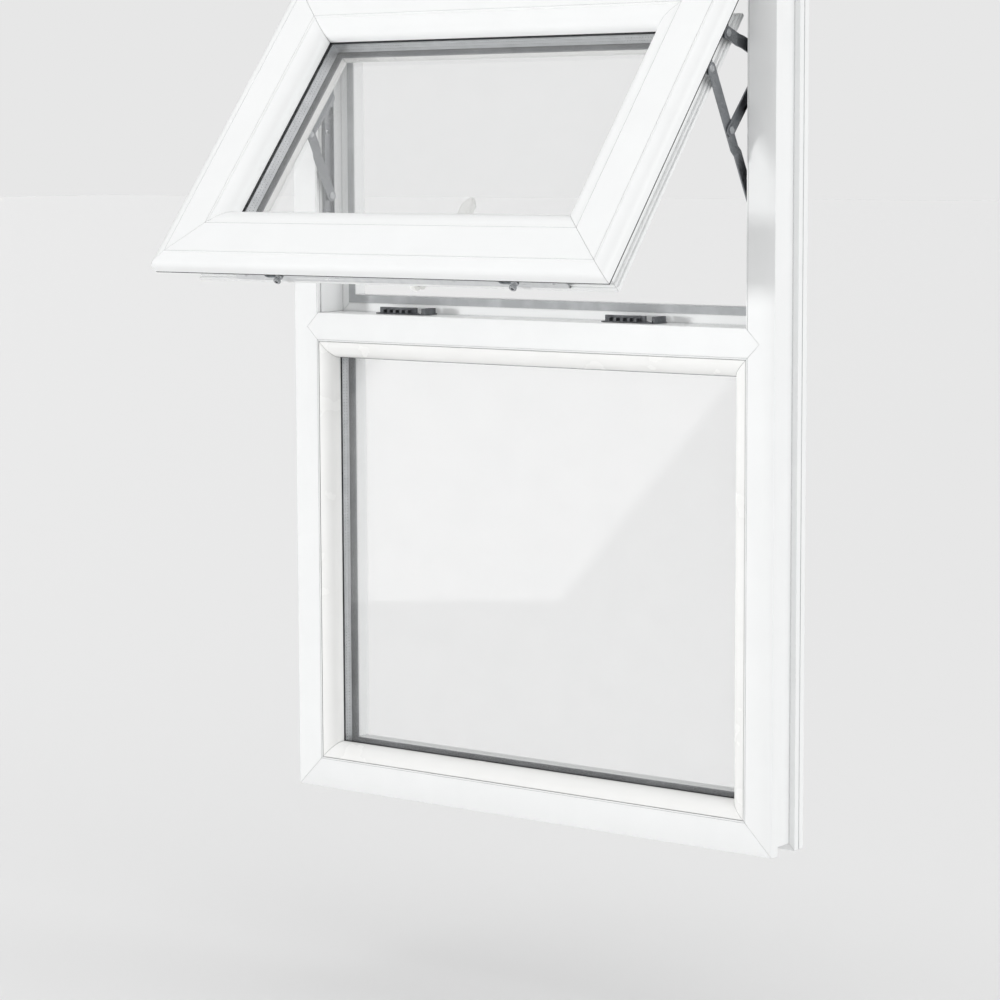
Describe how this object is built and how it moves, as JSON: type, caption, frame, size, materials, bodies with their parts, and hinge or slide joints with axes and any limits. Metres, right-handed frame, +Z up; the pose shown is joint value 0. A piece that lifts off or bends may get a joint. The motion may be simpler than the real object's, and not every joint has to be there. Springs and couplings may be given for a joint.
{
  "type": "casement window",
  "caption": "White PVC-U window with a top-hung casement that swings outwards on friction stays above a fixed, externally beaded light.",
  "frame": {"origin": "underside of the sill's front leg, at the middle of the width", "axes": "+X along the width, +Y from outdoors to indoors, +Z up"},
  "size_m": [0.74, 0.3699, 1.1],
  "materials": {
    "profile": "smooth white PVC-U profile, lightly glossy",
    "bead_profile": "white PVC-U glazing bead",
    "glass": "clear float glass",
    "gasket_black": "black EPDM gasket",
    "seal_grey": "grey EPDM weather seal",
    "spacer": "mill aluminium spacer bar",
    "stainless": "satin stainless strip",
    "zinc": "bright zinc plated steel",
    "die_cast": "dark zinc die casting",
    "galvanised": "galvanised steel",
    "enamel": "white powder coated die casting"
  },
  "bodies": {
    "frame": {"frame_sill": "profile", "frame_jamb_right": "profile", "frame_head": "profile", "frame_jamb_left": "profile", "transom": "profile", "jamb_steel_left": "galvanised", "jamb_steel_right": "galvanised", "transom_steel": "galvanised", "frame_rebate_seal": "seal_grey", "lower_bead_bottom": "bead_profile", "lower_bead_right": "bead_profile", "lower_bead_top": "bead_profile", "lower_bead_left": "bead_profile", "lower_glass_outer": "glass", "lower_glass_inner": "glass", "lower_spacer": "spacer", "lower_gasket_outer": "gasket_black", "lower_gasket_inner": "gasket_black", "keep_left": "die_cast", "keep_right": "die_cast", "stay_track_left": "stainless", "stay_track_right": "stainless"},
    "sash": {"sash_rail_bottom": "profile", "sash_stile_right": "profile", "sash_rail_top": "profile", "sash_stile_left": "profile", "sash_bead_bottom": "bead_profile", "sash_bead_right": "bead_profile", "sash_bead_top": "bead_profile", "sash_bead_left": "bead_profile", "sash_glass_outer": "glass", "sash_glass_inner": "glass", "sash_spacer": "spacer", "sash_gasket_outer": "gasket_black", "sash_gasket_inner": "gasket_black", "sash_rim_seal": "gasket_black", "espag_faceplate": "zinc", "espag_gearbox": "zinc", "handle_base": "enamel", "sash_bar_left": "stainless", "sash_bar_right": "stainless"},
    "lock_drive": {"espag_drive_bar": "galvanised", "espag_cam_left": "stainless", "espag_cam_right": "stainless"},
    "handle": {"handle_lever": "enamel", "handle_spindle": "zinc"},
    "lock_button": {"handle_lock_button": "enamel"},
    "long_arm_left": {"stay_long_arm_left": "stainless"},
    "link_left": {"stay_link_left": "stainless"},
    "slider_left": {"stay_slider_left": "stainless"},
    "short_arm_left": {"stay_short_arm_left": "stainless"},
    "long_arm_right": {"stay_long_arm_right": "stainless"},
    "link_right": {"stay_link_right": "stainless"},
    "slider_right": {"stay_slider_right": "stainless"},
    "short_arm_right": {"stay_short_arm_right": "stainless"}
  },
  "joints": [
    {"name": "sash_swing", "type": "hinge", "parent": "long_arm_left", "child": "sash", "pos_m": [0, -0.06588, 0.92696], "axis": [-1, 0, 0], "range_deg": [-69.67, 10.75]},
    {"name": "handle_turn", "type": "hinge", "parent": "sash", "child": "handle", "pos_m": [0, -0.20955, 0.68426], "axis": [0, 0.7782, -0.628], "range_deg": [0, 90]},
    {"name": "lock_slide", "type": "slide", "parent": "sash", "child": "lock_drive", "axis": [1, 0, 0], "range_m": [-0.02001, 0]},
    {"name": "button_press", "type": "slide", "parent": "handle", "child": "lock_button", "axis": [0, -0.7782, 0.628], "range_m": [0, 0.0025], "stiffness_N_per_m": 600, "springref_m": -0.002},
    {"name": "long_arm_turn_left", "type": "hinge", "parent": "frame", "child": "long_arm_left", "pos_m": [-0.3195, 0.0135, 0.778], "axis": [1, 0, 0], "range_deg": [-30.87, 4.85]},
    {"name": "link_turn_left", "type": "hinge", "parent": "long_arm_left", "child": "link_left", "pos_m": [-0.3195, -0.02857, 0.85695], "axis": [-1, 0, 0], "range_deg": [-76.63, 11.9]},
    {"name": "slider_travel_left", "type": "slide", "parent": "frame", "child": "slider_left", "axis": [0, 0, 1], "range_m": [-0.00427, 0.02657]},
    {"name": "short_arm_turn_left", "type": "hinge", "parent": "frame", "child": "short_arm_left", "pos_m": [-0.3195, 0.0135, 0.952], "axis": [1, 0, 0], "range_deg": [-79.68, 12.37]},
    {"name": "long_arm_turn_right", "type": "hinge", "parent": "frame", "child": "long_arm_right", "pos_m": [0.3195, 0.0135, 0.778], "axis": [1, 0, 0], "range_deg": [-30.87, 4.85]},
    {"name": "link_turn_right", "type": "hinge", "parent": "long_arm_right", "child": "link_right", "pos_m": [0.3195, -0.02857, 0.85695], "axis": [-1, 0, 0], "range_deg": [-76.63, 11.9]},
    {"name": "slider_travel_right", "type": "slide", "parent": "frame", "child": "slider_right", "axis": [0, 0, 1], "range_m": [-0.00427, 0.02657]},
    {"name": "short_arm_turn_right", "type": "hinge", "parent": "frame", "child": "short_arm_right", "pos_m": [0.3195, 0.0135, 0.952], "axis": [1, 0, 0], "range_deg": [-79.68, 12.37]}
  ],
  "couplings": [
    {"joint": "lock_slide", "follows": "handle_turn", "m_per_rad": -0.012732},
    {"joint": "long_arm_turn_left", "follows": "sash_swing", "ratio": 0.44165},
    {"joint": "link_turn_left", "follows": "sash_swing", "ratio": 1.0984},
    {"joint": "slider_travel_left", "follows": "sash_swing", "m_per_rad": -0.02169},
    {"joint": "short_arm_turn_left", "follows": "sash_swing", "ratio": 1.1423},
    {"joint": "long_arm_turn_right", "follows": "sash_swing", "ratio": 0.44165},
    {"joint": "link_turn_right", "follows": "sash_swing", "ratio": 1.0984},
    {"joint": "slider_travel_right", "follows": "sash_swing", "m_per_rad": -0.02169},
    {"joint": "short_arm_turn_right", "follows": "sash_swing", "ratio": 1.1423}
  ]
}
